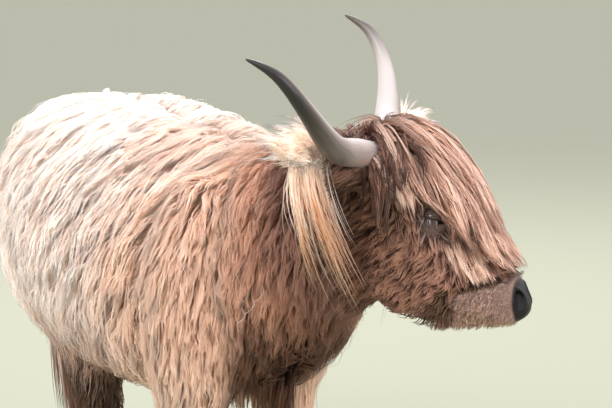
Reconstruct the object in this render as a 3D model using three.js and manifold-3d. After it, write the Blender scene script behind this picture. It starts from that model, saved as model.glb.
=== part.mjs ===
// A life-size highland cow, standing with its head turned to its left.
// Millimetres, +X towards the chest, +Y to the animal's left, +Z up, hooves on Z = 0.
// Every outline is that of the coat, out to the ends of the hair.
import * as THREE from "three";
import { mergeVertices } from "three/addons/utils/BufferGeometryUtils.js";
import Module from "manifold-3d";

const wasm = await Module();
wasm.setup();

// ---------------------------------------------------------------- driving dimensions

const GAP = 0.6; // clearance between touching pieces
const MIDDLE = new THREE.Vector3(140, 9, 0); // middle of the animal's box, in the sections' own X and Y

const HALF_WIDTH = 320; // trunk, at the last ribs
const BACK = 1135; // height of the back
const BELLY = 405; // height of the belly fringe
const RUMP_X = -752;
const CHEST_X = 715;

const POLL = new THREE.Vector3(850, 90, 1112); // crown of the skull, between the horns
const HEAD_LENGTH = 503; // poll to the front of the muzzle
const HEAD_YAW = THREE.MathUtils.degToRad(43); // turned to the left
const HEAD_DROP = THREE.MathUtils.degToRad(47); // nose below the level
const HEAD_TILT = THREE.MathUtils.degToRad(4.5); // right side low

const EYE_RADIUS = 20;
const HORN_RADIUS = 33;
const KNEE = 315; // height of the joint between forearm and cannon
const HOCK = 430;
const CORONET = 78; // height of the top of a hoof

// ---------------------------------------------------------------- materials

const material = (color, roughness, metalness = 0) =>
  new THREE.MeshStandardMaterial({ color, roughness, metalness });
const coats = {
  pale: material(0xd9b899, 0.95),
  tan: material(0xb98a68, 0.95),
  brown: material(0x7d5640, 0.95),
  dark: material(0x4a342a, 0.95),
};
const noseSkin = material(0x2a2423, 0.4);
const udderSkin = material(0xc79a8a, 0.7);
const hornKeratin = material(0xb8aa9a, 0.45);
const hoofKeratin = material(0x3a322d, 0.55);
const eyeGlass = material(0x1c120d, 0.05);

// ---------------------------------------------------------------- solids

// A closed three.js geometry as a solid that can be cut and joined, with its surface moved
// out by `grow`.
function solidOf(geometry, grow) {
  const bare = geometry.clone();
  bare.deleteAttribute("normal");
  bare.deleteAttribute("uv");
  const merged = mergeVertices(bare, 1e-3);
  merged.computeVertexNormals();
  const { position, normal } = merged.attributes;
  const spot = new THREE.Vector3();
  const out = new THREE.Vector3();
  for (let i = 0; i < position.count; i++) {
    spot.fromBufferAttribute(position, i).addScaledVector(out.fromBufferAttribute(normal, i), grow);
    position.setXYZ(i, spot.x, spot.y, spot.z);
  }
  const made = new wasm.Mesh({
    numProp: 3,
    vertProperties: position.array,
    triVerts: new Uint32Array(merged.index.array),
  });
  return new wasm.Manifold(made);
}

// The solid as a geometry again.
function geometryOf(solid) {
  const { vertProperties, triVerts } = solid.getMesh();
  return new THREE.BufferGeometry()
    .setAttribute("position", new THREE.BufferAttribute(vertProperties, 3))
    .setIndex(new THREE.BufferAttribute(triVerts, 1));
}

// Every maker below returns a function that makes its solid, grown by a clearance.

// A cylinder drawn through rings. A ring has a centre `at`, reaches `side` to both sides,
// `up` towards the hint and `down` away from it. `boxy` below 1 squares the upper and lower
// corners.
function loft(rings, hint, { around = 14, steps = 11, boxy = [1, 1], frame = null } = {}) {
  const line = new THREE.CatmullRomCurve3(rings.map((r) => r.at), false, "catmullrom", 0.5);
  const reach = new THREE.CatmullRomCurve3(
    rings.map((r) => new THREE.Vector3(r.side, r.up, r.down)), false, "catmullrom", 0.5);
  const [boxyTop, boxyUnder] = boxy;
  return (grow = 0) => {
    const tube = new THREE.CylinderGeometry(1, 1, 1, around, steps);
    const spots = tube.attributes.position;
    for (let i = 0; i < spots.count; i++) {
      const t = THREE.MathUtils.clamp(spots.getY(i) + 0.5, 0, 1);
      const along = line.getTangent(t);
      const side = new THREE.Vector3().crossVectors(hint, along).normalize();
      const up = new THREE.Vector3().crossVectors(along, side);
      const size = reach.getPoint(t);
      const power = spots.getZ(i) < 0 ? boxyTop : boxyUnder;
      const across = Math.sign(spots.getX(i)) * Math.abs(spots.getX(i)) ** power;
      const high = -Math.sign(spots.getZ(i)) * Math.abs(spots.getZ(i)) ** power;
      const spot = line.getPoint(t)
        .addScaledVector(side, across * size.x)
        .addScaledVector(up, high * (high > 0 ? size.y : size.z));
      spots.setXYZ(i, spot.x, spot.y, spot.z);
    }
    if (frame) tube.applyMatrix4(frame);
    return solidOf(tube, grow);
  };
}

// An ellipsoid of half sizes `size`.
function ball(size, at, frame = new THREE.Matrix4(), segments = 12) {
  return (grow = 0) => {
    const sphere = new THREE.SphereGeometry(1, segments, Math.round(segments * 0.7));
    sphere.scale(size.x, size.y, size.z);
    sphere.translate(at.x, at.y, at.z);
    return solidOf(sphere.applyMatrix4(frame), grow);
  };
}

// The space between two corners, for parting a loft with planes.
function slab(low, high, frame) {
  return (grow = 0) => {
    const size = new THREE.Vector3().subVectors(high, low);
    const box = new THREE.BoxGeometry(size.x, size.y, size.z);
    box.translate(...new THREE.Vector3().addVectors(low, high).multiplyScalar(0.5));
    return solidOf(box.applyMatrix4(frame), grow);
  };
}

const vector = (x, y, z) => new THREE.Vector3(x, y, z);
const ring = (at, side, up, down = up) => ({ at, side, up, down });

// Pieces in the order in which they hold their ground: each is cut clear of the grown
// shape, or `room`, of those before it.
const pieces = [];
const add = (name, make, look, room = make) => pieces.push({ name, make, look, room });

const UP = vector(0, 0, 1);
const FORWARD = vector(1, 0, 0);
const SIDES = [{ side: "right", s: -1 }, { side: "left", s: 1 }];

// ---------------------------------------------------------------- head

const turned = (drop) => new THREE.Matrix4()
  .makeRotationFromEuler(new THREE.Euler(HEAD_TILT, drop, HEAD_YAW, "ZYX"))
  .setPosition(POLL);
const HEAD = turned(HEAD_DROP); // X along the face, Z out of the forehead
const CROWN = turned(0); // the same turn, but level: horns and ears are placed in it

// Rings of the face from nape to lips, each by its place along the face, its forehead and
// jaw heights and its half width.
const face = (x, top, bottom, half) => {
  const middle = 0.45 * top + 0.55 * bottom;
  return ring(vector(x, 0, middle), half, top - middle, middle - bottom);
};
const skull = loft([
  face(-72, -60, -150, 40),
  face(-45, -26, -205, 84),
  face(20, 24, -252, 110),
  face(100, 36, -274, 118),
  face(180, 38, -276, 117),
  face(250, 31, -272, 104),
  face(308, 20, -258, 90),
  face(352, 14, -220, 81),
  face(392, 14, -174, 75),
  face(436, 19, -126, 74),
  face(470, 15, -92, 66),
  face(492, 2, -56, 50),
  face(HEAD_LENGTH, -10, -34, 26),
], UP, { around: 16, steps: 15, boxy: [0.74, 0.95], frame: HEAD });

const MUZZLE_X = 420;
const MOUTH_SLOPE = THREE.MathUtils.degToRad(29); // the mouth line falls towards the cheek
const mouth = new THREE.Matrix4().makeRotationY(-MOUTH_SLOPE)
  .setPosition(HEAD_LENGTH, 0, -80).premultiply(HEAD);
const jawSpace = slab(vector(-140, -300, -300), vector(100, 300, 0), mouth);
const muzzleSpace = slab(vector(MUZZLE_X, -300, -400), vector(HEAD_LENGTH + 100, 300, 300), HEAD);

const eyes = SIDES.map(({ s }) =>
  ball(vector(EYE_RADIUS, EYE_RADIUS, EYE_RADIUS), vector(213, s * 75, -23), HEAD, 10));
const eyeSlits = SIDES.map(({ s }) => ball(vector(25, 60, 9), vector(213, s * 122, -23), HEAD, 8));
const nostrils = SIDES.map(({ s }) =>
  ball(vector(17, 15, 17), vector(HEAD_LENGTH - 18, s * 40, -24), HEAD, 8));

const whole = skull();
const clearOf = (solid, ...spaces) => spaces.reduce((left, space) => left.subtract(space(GAP)), solid);
SIDES.forEach(({ side }, i) => add(`eye_${side}`, eyes[i], eyeGlass));
add("lower_jaw", () => whole.intersect(jawSpace()), coats.brown, null);
add("muzzle", () => clearOf(whole.intersect(muzzleSpace()), jawSpace, ...nostrils), noseSkin, null);
add("head", () => clearOf(whole, jawSpace, muzzleSpace, ...eyes, ...eyeSlits), coats.brown, skull);

// The forelock lies over brow and face like a thatch, and hangs to the eyes at the sides.
add("forelock", loft([
  face(-76, -88, -128, 36),
  face(-52, -46, -130, 76),
  face(0, 28, -122, 109),
  face(60, 77, -112, 130),
  face(130, 97, -66, 130),
  face(200, 84, -24, 114),
  face(270, 60, -14, 96),
  face(340, 38, -12, 78),
  face(395, 27, -6, 58),
  face(434, 24, -2, 30),
], UP, { around: 14, steps: 9, frame: HEAD }), coats.brown);

// ---------------------------------------------------------------- trunk and neck

const barrel = (x, top, bottom, half) => {
  const middle = 0.52 * top + 0.48 * bottom;
  return ring(vector(x, 0, middle), half, top - middle, middle - bottom);
};
const barrelShape = loft([
  barrel(RUMP_X, 935, 800, 56),
  barrel(RUMP_X + 32, BACK - 128, 710, 126),
  barrel(-645, BACK - 54, 620, 206),
  barrel(-525, BACK - 14, 560, 262),
  barrel(-330, BACK, BELLY + 42, 305),
  barrel(-80, BACK - 8, BELLY, HALF_WIDTH),
  barrel(160, BACK - 34, BELLY + 2, HALF_WIDTH - 8),
  barrel(380, BACK - 70, BELLY + 32, 286),
  barrel(540, BACK - 122, BELLY + 105, 236),
  barrel(650, BACK - 200, BELLY + 175, 170),
  barrel(CHEST_X, 850, 650, 80),
], UP, { around: 18, steps: 16, boxy: [1.02, 0.9] });
const neckShape = loft([
  ring(vector(390, 0, 850), 190, 190, 260),
  ring(vector(540, 10, 864), 206, 216, 262),
  ring(vector(690, 46, 905), 180, 200, 222),
  ring(vector(775, 72, 935), 152, 180, 192),
  ring(vector(850, 112, 960), 132, 150, 170),
  ring(vector(900, 150, 965), 96, 110, 130),
], UP, { around: 14, steps: 7, boxy: [0.95, 0.95] });
const dewlapShape = loft([ // from the throat to between the forelegs
  ring(vector(780, 80, 800), 34, 30, 30),
  ring(vector(705, 52, 722), 46, 46, 38),
  ring(vector(625, 22, 630), 54, 56, 48),
  ring(vector(582, 6, 545), 62, 58, 56),
  ring(vector(535, 0, 490), 56, 48, 48),
  ring(vector(455, 0, 484), 36, 30, 32),
], vector(0.5, 0, 0.87), { around: 10, steps: 7 });
const body = (grow = 0) => barrelShape(grow).add(neckShape(grow)).add(dewlapShape(grow));

const NECK_ROOT = new THREE.Matrix4().makeRotationY(THREE.MathUtils.degToRad(-16))
  .setPosition(560, 0, 820);
const neckSpace = slab(vector(0, -500, -700), vector(700, 700, 700), NECK_ROOT);
add("trunk", () => clearOf(body(), neckSpace), coats.pale, null);
add("neck", () => body().intersect(neckSpace()), coats.tan, body);

// ---------------------------------------------------------------- ears and horns

// Ears stand out behind the horns, with a long hanging fringe. The left one is held
// forward, clear of the neck.
const EARS = [
  { side: "right", s: -1, sweep: 120, rise: 62 },
  { side: "left", s: 1, sweep: -20, rise: 22 },
];
for (const { side, s, sweep, rise } of EARS) {
  const onEar = (share, drop = 0) =>
    vector(-22 - sweep * share, s * (88 + 150 * share), -72 + rise * share - drop);
  const across = vector(150, s * sweep, 0).normalize(); // square to the ear, level
  add(`ear_${side}`, loft([
    ring(onEar(0), 22, 24),
    ring(onEar(0.3), 46, 20),
    ring(onEar(0.65), 52, 17),
    ring(onEar(0.9), 36, 13),
    ring(onEar(1.08), 10, 6),
  ], across, { around: 10, steps: 6, frame: CROWN }), coats.brown);
  add(`ear_fringe_${side}`, loft([
    ring(onEar(0.6, 0), 76, 16),
    ring(onEar(0.56, 70), 74, 22),
    ring(onEar(0.46, 150), 58, 22),
    ring(onEar(0.36, 225), 38, 16),
    ring(onEar(0.28, 288), 14, 7),
  ], across, { around: 10, steps: 6, frame: CROWN }), coats.tan);
}

for (const { side, s } of SIDES) {
  // A horn leaves the crown sideways, then sweeps up and back to its point.
  const hornRing = (back, out, up, radius) => ring(vector(-back, s * out, up), radius, radius);
  add(`horn_${side}`, loft([
    hornRing(-19, 62, -41, HORN_RADIUS),
    hornRing(28, 128, -25, HORN_RADIUS),
    hornRing(52, 203, -8, 0.95 * HORN_RADIUS),
    hornRing(67, 270, 42, 0.78 * HORN_RADIUS),
    hornRing(89, 324, 106, 0.58 * HORN_RADIUS),
    hornRing(132, 357, 174, 0.41 * HORN_RADIUS),
    hornRing(195, 368, 208, 0.1 * HORN_RADIUS),
  ], vector(1, 0, 0.6), { around: 10, steps: 13, frame: CROWN }), hornKeratin);
}

// ---------------------------------------------------------------- legs

// Two claws and two dew claws under a pastern at x, y.
function foot(name, x, y) {
  for (const { side, s } of SIDES) {
    const claw = (z, ahead, half, front, back) =>
      ring(vector(x + ahead, y + s * 27, z), half, front, back);
    add(`${name}_claw_${side}`, loft([
      claw(CORONET + 20, 4, 22, 36, 34),
      claw(42, 14, 25, 50, 42),
      claw(12, 20, 26, 58, 46),
      claw(0, 20, 26, 58, 46),
    ], FORWARD, { around: 10, steps: 2, boxy: [0.85, 0.85] }), hoofKeratin);
    add(`${name}_dewclaw_${side}`,
      ball(vector(15, 11, 17), vector(x - 80, y + s * 24, CORONET + 36), undefined, 6), hoofKeratin);
  }
}

const FORELEGS = [
  { name: "foreleg_right", s: -1, x: 425, y: -168 },
  { name: "foreleg_left", s: 1, x: 300, y: 145 },
];
for (const { name, s, x, y } of FORELEGS) {
  add(`${name}_shoulder`, loft([
    ring(vector(505, s * 150, 985), 46, 60, 60),
    ring(vector(495, s * 168, 930), 86, 106, 108),
    ring(vector(470, s * 180, 800), 116, 142, 152),
    ring(vector(0.6 * x + 180, 0.4 * y + s * 112, 670), 122, 146, 160),
    ring(vector(x + 10, y + s * 8, 550), 102, 118, 138),
    ring(vector(x, y + s * 3, 440), 76, 82, 102),
    ring(vector(x, y, 360), 62, 64, 74),
    ring(vector(x, y, KNEE), 57, 58, 64),
  ], FORWARD), coats.tan);
  add(`${name}_cannon`, loft([
    ring(vector(x, y, KNEE + 12), 56, 57, 62),
    ring(vector(x, y, KNEE - 50), 50, 50, 56),
    ring(vector(x - 2, y, 205), 42, 40, 50),
    ring(vector(x, y, 140), 48, 45, 62),
    ring(vector(x + 12, y, 96), 53, 52, 60),
    ring(vector(x + 18, y, CORONET - 4), 50, 52, 48),
  ], FORWARD, { around: 10, steps: 8 }), coats.dark);
  foot(name, x + 18, y);
}

// Each hind leg by its hoof's place and how far its hock stands behind the hoof.
const HINDLEGS = [
  { name: "hindleg_right", s: -1, x: -225, y: -100, hockBack: 68, stifle: -395 },
  { name: "hindleg_left", s: 1, x: -690, y: 138, hockBack: 38, stifle: -500 },
];
for (const { name, s, x, y, hockBack, stifle } of HINDLEGS) {
  const hock = x - hockBack;
  add(`${name}_thigh`, loft([
    ring(vector(-525, s * 126, 950), 44, 76, 76),
    ring(vector(-520, s * 154, 890), 82, 134, 130),
    ring(vector(0.35 * stifle - 316, s * 164, 785), 108, 184, 168),
    ring(vector(0.7 * stifle - 150 + 0.04 * x, s * 162, 665), 108, 172, 156),
    ring(vector(0.6 * stifle + 0.4 * hock, 0.45 * s * 168 + 0.55 * y, 550), 88, 120, 108),
    ring(vector(0.2 * stifle + 0.8 * hock, y + s * 14, 480), 70, 82, 84),
    ring(vector(hock, y + s * 4, HOCK), 59, 64, 76),
  ], FORWARD), coats.pale);
  add(`${name}_cannon`, loft([
    ring(vector(hock, y + s * 4, HOCK + 14), 58, 62, 74),
    ring(vector(hock + 4, y + s * 3, HOCK - 60), 50, 54, 62),
    ring(vector(hock + 0.3 * hockBack, y, 290), 42, 44, 50),
    ring(vector(hock + 0.62 * hockBack, y, 200), 41, 42, 50),
    ring(vector(hock + 0.85 * hockBack, y, 138), 48, 46, 62),
    ring(vector(x + 12, y, 96), 53, 52, 60),
    ring(vector(x + 20, y, CORONET - 4), 50, 52, 48),
  ], FORWARD, { around: 10, steps: 8 }), coats.dark);
  foot(name, x + 20, y);
}

// ---------------------------------------------------------------- udder and tail

const teats = [-1, 1].flatMap((s) => [-575, -475].map((x) =>
  ball(vector(13, 13, 32), vector(x, s * 48, 450), undefined, 6)));
const bag = ball(vector(125, 105, 82), vector(-520, 0, 520), undefined, 10);
add("udder", () => teats.reduce((udder, teat) => udder.add(teat()), bag()), udderSkin);

const DOCK_END = 560; // height at which the tail's bone ends and the long hair hangs free
add("tail_dock", loft([
  ring(vector(-660, 0, 1044), 44, 34, 34),
  ring(vector(-722, 0, 992), 46, 34, 36),
  ring(vector(-772, 6, 920), 42, 32, 34),
  ring(vector(-800, 16, 820), 36, 30, 30),
  ring(vector(-794, 28, 690), 34, 30, 30),
  ring(vector(-774, 38, DOCK_END), 36, 32, 32),
], vector(1, 0, 0.5), { around: 8, steps: 8 }), coats.pale);
add("tail_switch", loft([
  ring(vector(-775, 38, DOCK_END + 6), 36, 32, 32),
  ring(vector(-762, 42, 480), 46, 42, 42),
  ring(vector(-750, 46, 390), 50, 44, 46),
  ring(vector(-742, 48, 290), 44, 36, 38),
  ring(vector(-739, 50, 210), 26, 22, 22),
  ring(vector(-738, 50, 160), 6, 6, 6),
], vector(1, 0, 0.5), { around: 9, steps: 8 }), coats.dark);

// ---------------------------------------------------------------- assembly

const AXES = ["x", "y", "z"];
const apart = (a, b) => AXES.some((_, i) => a.min[i] > b.max[i] || b.min[i] > a.max[i]);
const biggest = (solid) => solid.decompose().reduce((a, b) => (a.volume() > b.volume() ? a : b));

const anatomy = new THREE.Group();
anatomy.position.copy(MIDDLE).negate();
const rooms = [];
for (const { name, make, look, room } of pieces) {
  let solid = make();
  for (const taken of rooms) {
    if (!apart(taken.boundingBox(), solid.boundingBox())) solid = solid.subtract(taken);
  }
  const piece = new THREE.Mesh(geometryOf(biggest(solid)), look);
  piece.name = name;
  anatomy.add(piece);
  if (room) rooms.push(room(GAP));
}

const cow = new THREE.Group();
cow.add(anatomy);

export default cow;
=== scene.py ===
import math

import bmesh
import bpy
import numpy as np
from mathutils import Matrix, Vector
from mathutils.bvhtree import BVHTree
from mathutils.kdtree import KDTree


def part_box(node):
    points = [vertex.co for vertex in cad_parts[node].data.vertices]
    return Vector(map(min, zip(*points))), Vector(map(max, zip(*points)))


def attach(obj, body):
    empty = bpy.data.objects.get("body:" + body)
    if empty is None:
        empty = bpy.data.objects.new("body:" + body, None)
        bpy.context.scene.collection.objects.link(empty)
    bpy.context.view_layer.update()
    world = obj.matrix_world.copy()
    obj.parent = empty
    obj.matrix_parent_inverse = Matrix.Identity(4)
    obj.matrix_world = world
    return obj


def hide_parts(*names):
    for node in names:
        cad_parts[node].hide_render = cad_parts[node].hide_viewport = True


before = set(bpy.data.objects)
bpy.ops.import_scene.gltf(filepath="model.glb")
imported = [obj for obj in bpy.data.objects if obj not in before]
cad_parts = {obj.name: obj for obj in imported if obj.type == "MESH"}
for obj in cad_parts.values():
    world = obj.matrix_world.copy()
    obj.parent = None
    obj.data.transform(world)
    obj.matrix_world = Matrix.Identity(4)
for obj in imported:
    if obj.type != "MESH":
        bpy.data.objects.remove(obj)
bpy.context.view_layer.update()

# ---------------------------------------------------------------- Camera
# A long lens about six metres off, ahead of the animal and to its right, at the eye height
# of a grown person. It looks slightly down along the back.
CAMERA_AT = Vector((4.880, -2.529, 1.590))
CAMERA_RIGHT = Vector((0.5, 0.866, 0.0)).normalized()
CAMERA_UP = Vector((-0.1115, 0.0644, 0.9917)).normalized()

camera_data = bpy.data.cameras.new("camera")
camera_data.lens = 132.7
camera_data.sensor_width = 36
camera_data.clip_end = 300
camera = bpy.data.objects.new("camera", camera_data)
bpy.context.scene.collection.objects.link(camera)
camera.matrix_world = Matrix.Translation(CAMERA_AT) @ Matrix(
    (CAMERA_RIGHT, CAMERA_UP, CAMERA_RIGHT.cross(CAMERA_UP))
).transposed().to_4x4()
bpy.context.scene.camera = camera

# ---------------------------------------------------------------- Skin
# The hide of the whole animal in one piece: the solids of flesh grown together, then sunk
# under them by the depth of the coat. Folds, lids, lips and nostrils are shaped into it.
SIDES = {"right": -1, "left": 1}
LEGS = ("foreleg_right", "foreleg_left", "hindleg_right", "hindleg_left")
FORELEGS, HINDLEGS = LEGS[:2], LEGS[2:]
VOXEL = 0.011
SEAM = 0.001  # closes the thin cuts between the solids
MIDDLE = Vector((0.140, 0.009, 0.0))  # the solids' middle, seen from the barrel's own zero
POLL = Vector((0.850, 0.090, 1.112)) - MIDDLE
HEAD_YAW, HEAD_DROP, HEAD_TILT = (math.radians(a) for a in (43, 47, 4.5))
MOUTH_FRONT, MOUTH_SLOPE = Vector((0.503, 0, -0.080)), math.radians(29)


def turned(drop):
    """The poll's frame, x towards the nose and z out of the brow, dropped by an angle."""
    turns = (
        Matrix.Rotation(HEAD_YAW, 4, "Z")
        @ Matrix.Rotation(drop, 4, "Y")
        @ Matrix.Rotation(HEAD_TILT, 4, "X")
    )
    return Matrix.Translation(POLL) @ turns


HEAD = turned(HEAD_DROP)
MOUTH = HEAD @ Matrix.Translation(MOUTH_FRONT) @ Matrix.Rotation(-MOUTH_SLOPE, 4, "Y")
GRAVITY = np.array((0.0, 0.0, -1.0))


def axis(matrix, n):
    return np.array(matrix.col[n][:3])


def seen_from(matrix, points):
    """Points in a frame's own coordinates."""
    inverse = np.array(matrix.inverted())
    return points @ inverse[:3, :3].T + inverse[:3, 3]


def dots(a, b):
    return (a * b).sum(1)


def unit(vectors):
    return vectors / np.maximum(np.linalg.norm(vectors, axis=1, keepdims=True), 1e-9)


def smooth(low, high, value):
    """0 below low, 1 above high, and an even S between; low may be the greater."""
    t = np.clip((value - low) / (high - low), 0, 1)
    return t * t * (3 - 2 * t)


def arrays(mesh):
    """A mesh's vertices and triangles."""
    mesh.calc_loop_triangles()
    points = np.zeros(len(mesh.vertices) * 3)
    mesh.vertices.foreach_get("co", points)
    triangles = np.zeros(len(mesh.loop_triangles) * 3, np.int64)
    mesh.loop_triangles.foreach_get("vertices", triangles)
    return points.reshape(-1, 3), triangles.reshape(-1, 3)


def merged(node):
    """A copy of a solid with its loose triangles joined."""
    mesh = bmesh.new()
    mesh.from_mesh(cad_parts[node].data)
    bmesh.ops.remove_doubles(mesh, verts=mesh.verts, dist=1e-5)
    mesh.normal_update()
    return mesh


def finished(mesh, name):
    """A bmesh as an object at the origin."""
    data = bpy.data.meshes.new(name)
    mesh.to_mesh(data)
    mesh.free()
    data.polygons.foreach_set("use_smooth", np.ones(len(data.polygons), bool))
    made = bpy.data.objects.new(name, data)
    bpy.context.scene.collection.objects.link(made)
    return made


def baked(thing):
    """The object's mesh with its modifiers applied."""
    view = bpy.context.evaluated_depsgraph_get()
    data = bpy.data.meshes.new_from_object(thing.evaluated_get(view))
    thing.modifiers.clear()
    thing.data = data
    return thing


def grown_together(nodes, name):
    """Solids joined into one closed even surface."""
    whole = bmesh.new()
    for node in nodes:
        part = merged(node)
        for vertex in part.verts:
            vertex.co += vertex.normal * SEAM
        grown = bpy.data.meshes.new(node)
        part.to_mesh(grown)
        part.free()
        whole.from_mesh(grown)
        bpy.data.meshes.remove(grown)
    made = finished(whole, name)
    remesh = made.modifiers.new("voxels", "REMESH")
    remesh.mode, remesh.voxel_size = "VOXEL", VOXEL
    return baked(made)


def nearest(tree, points):
    """The closest places on a surface, the ways out of it there, and the faces."""
    found = [tree.find_nearest(p) for p in points.tolist()]
    flat = np.array([(*place, *out) for place, out, _, _ in found])
    return flat[:, :3], flat[:, 3:], np.array([face for _, _, face, _ in found])


def tree_of(points, triangles):
    return BVHTree.FromPolygons(points.tolist(), triangles.tolist())


def relaxed(values, edges, share):
    """Each vertex's values moved towards the mean of its neighbours'."""
    count = len(values)
    degree = np.bincount(edges.ravel(), minlength=count).clip(1)
    mean = np.stack(
        [
            np.bincount(edges[:, 0], column[edges[:, 1]], count)
            + np.bincount(edges[:, 1], column[edges[:, 0]], count)
            for column in values.T
        ],
        1,
    ) / degree[:, None]
    return values + (mean - values) * share


def outward(points, triangles):
    """The way out of a surface at each vertex."""
    a, b, c = (points[triangles[:, n]] for n in range(3))
    across = np.cross(b - a, c - a)
    total = np.zeros_like(points)
    for n in range(3):
        for k in range(3):
            total[:, k] += np.bincount(triangles[:, n], across[:, k], len(points))
    return unit(total)


COAT_DEPTH = {
    "trunk": 0.072, "neck": 0.055, "head": 0.012, "muzzle": 0.002, "lower_jaw": 0.013,
    "udder": 0.003, "tail_dock": 0.012, "ear_right": 0.006, "ear_left": 0.006,
}
for leg in LEGS:
    upper = "shoulder" if leg in FORELEGS else "thigh"
    COAT_DEPTH[f"{leg}_{upper}"] = 0.036
    COAT_DEPTH[f"{leg}_cannon"] = 0.008
FLESH = list(COAT_DEPTH)
THIN_SHARE = 0.24  # of the way through a thin part, the most that the coat takes on one side
HAIR = ["forelock", "ear_fringe_right", "ear_fringe_left", "tail_switch"]

envelope = grown_together(FLESH + HAIR, "envelope")
envelope_tree = tree_of(*arrays(envelope.data))
bpy.data.objects.remove(envelope)

skin = grown_together(FLESH, "skin")
solid_trees, solid_owner = [], []
solid_points, solid_triangles = [], []
for number, node in enumerate(FLESH):
    part = merged(node)
    start = len(solid_points)
    solid_points += [tuple(v.co) for v in part.verts]
    solid_triangles += [[start + v.index for v in f.verts] for f in part.faces]
    solid_owner += [number] * len(part.faces)
    part.free()
solid_tree = BVHTree.FromPolygons(solid_points, solid_triangles)
solid_owner = np.array(solid_owner)

points, triangles = arrays(skin.data)
edges = np.zeros(len(skin.data.edges) * 2, np.int64)
skin.data.edges.foreach_get("vertices", edges)
edges = edges.reshape(-1, 2)
owner = solid_owner[nearest(solid_tree, points)[2]]
depth = np.array([COAT_DEPTH[node] for node in FLESH])[owner]
ways = outward(points, triangles)
own_tree = tree_of(points, triangles)
through = np.array([
    own_tree.ray_cast(start, way)[3] or 1.0
    for start, way in zip((points - ways * 0.003).tolist(), (-ways).tolist())
])
depth = np.minimum(depth * (1 - 0.4 * smooth(0.5, 0.9, ways[:, 2])), THIN_SHARE * through)[:, None]
for _ in range(24):
    depth = relaxed(depth, edges, 0.6)
SINKING_STEPS = 12
THICK = 0.045  # a coat this deep hides every small form of the solid under it
softening = 0.5 * np.clip(depth / THICK, 0.08, 1)
for _ in range(SINKING_STEPS):
    ways = outward(points, triangles)
    for _ in range(4):
        ways = unit(relaxed(ways, edges, 0.6))
    points = points - ways * depth / SINKING_STEPS
    for _ in range(5):
        points = relaxed(points, edges, softening)
skin.data.vertices.foreach_set("co", points.ravel())

# The face: finer faces round the eyes and on the muzzle, then lids, nostrils and lips.
EYE_RADIUS = 0.020
EYES = {
    side: sum(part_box(f"eye_{side}"), Vector()) / 2 for side in SIDES
}
LID = 0.0022  # the lids' thickness over the eyeball
LID_GAP = 0.0036  # half the opening of the nearly closed eye
SLIT_HALF = 0.029  # half the slit's length, with the creases at its corners
SLIT_SLANT = math.radians(36)  # the slit lies nearer level than the bridge of the nose does
MUZZLE_FRAME_X = 0.36


def eye_ways(s):
    """The ways along the slit, up across it and out of the head."""
    ahead, out, up = (axis(HEAD, n) for n in range(3))
    c, d = math.cos(SLIT_SLANT), math.sin(SLIT_SLANT)
    return ahead * c + up * d, up * c - ahead * d, out * s


def slit(along):
    """The height of the slit's middle line, and half its opening."""
    return -0.003 - 4.0 * along**2, LID_GAP * np.sqrt(np.clip(1 - (along / SLIT_HALF) ** 2, 0, 1))


def refined(mesh, chosen):
    """Splits the faces whose middle is chosen into four."""
    faces = [f for f in mesh.faces if chosen(f.calc_center_median())]
    split = list({edge for face in faces for edge in face.edges})
    bmesh.ops.subdivide_edges(mesh, edges=split, cuts=1, use_grid_fill=True)


work = bmesh.new()
work.from_mesh(skin.data)
to_head = HEAD.inverted()
for reach in (0.058, 0.046, 0.034):
    refined(work, lambda p, r=reach: min((p - e).length for e in EYES.values()) < r)
for front in (MUZZLE_FRAME_X, MUZZLE_FRAME_X + 0.02):
    refined(
        work,
        lambda p, f=front: (to_head @ p).x > f and (p - Vector(axis(HEAD, 3))).length < 0.6,
    )
bmesh.ops.triangulate(work, faces=[f for f in work.faces if len(f.verts) > 4])
work.to_mesh(skin.data)
work.free()

points, triangles = arrays(skin.data)
edges = np.zeros(len(skin.data.edges) * 2, np.int64)
skin.data.edges.foreach_get("vertices", edges)
edges = edges.reshape(-1, 2)
local = seen_from(HEAD, points)
face_zone = smooth(0.075, 0.055, np.min(
    [np.linalg.norm(points - np.array(e), axis=1) for e in EYES.values()], axis=0
)) + smooth(MUZZLE_FRAME_X - 0.02, MUZZLE_FRAME_X + 0.01, local[:, 0]) * (
    np.linalg.norm(local, axis=1) < 0.6
)
face_zone = np.clip(face_zone, 0, 1)[:, None]
for _ in range(6):
    points = points + (relaxed(points, edges, 0.6) - points) * face_zone

lid_shade = np.zeros(len(points))
for side, s in SIDES.items():
    centre = np.array(EYES[side])
    along_way, high_way, out = eye_ways(s)
    offset = points - centre
    along, high, far = offset @ along_way, offset @ high_way, offset @ out
    flat = np.hypot(along, high * 1.1)
    near = smooth(0.050, 0.026, flat) * (far > -0.03)
    ball = np.sqrt(np.maximum((EYE_RADIUS + LID) ** 2 - along**2 - high**2, 0))
    # The upper lid hangs over the middle of the eyeball, and the slit falls to both corners.
    middle, opening = slit(along)
    across_slit = high - middle
    inside = smooth(1.0, 0.6, np.abs(across_slit) / np.maximum(opening, 1e-5))
    rim = 0.0014 * np.exp(-((np.abs(across_slit) - opening - 0.0012) / 0.0013) ** 2)
    crease = -0.0026 * np.exp(-((across_slit - 0.010 - 6 * along**2) / 0.0020) ** 2)
    bag = 0.0020 * np.exp(-((across_slit + 0.011 - 6 * along**2) / 0.0035) ** 2)
    lid_height = np.maximum(ball, np.clip(far, 0.006, 0.013)) + rim + crease + bag - inside * 0.0062
    lid_edge = smooth(2.6, 1.2, np.abs(across_slit) / np.maximum(opening, 1e-5)) * (np.abs(along) < SLIT_HALF)
    lid_shade = np.maximum(lid_shade, lid_edge * near)
    target = far + (lid_height - far) * near
    points = points + out * (target - far)[:, None]

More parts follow.
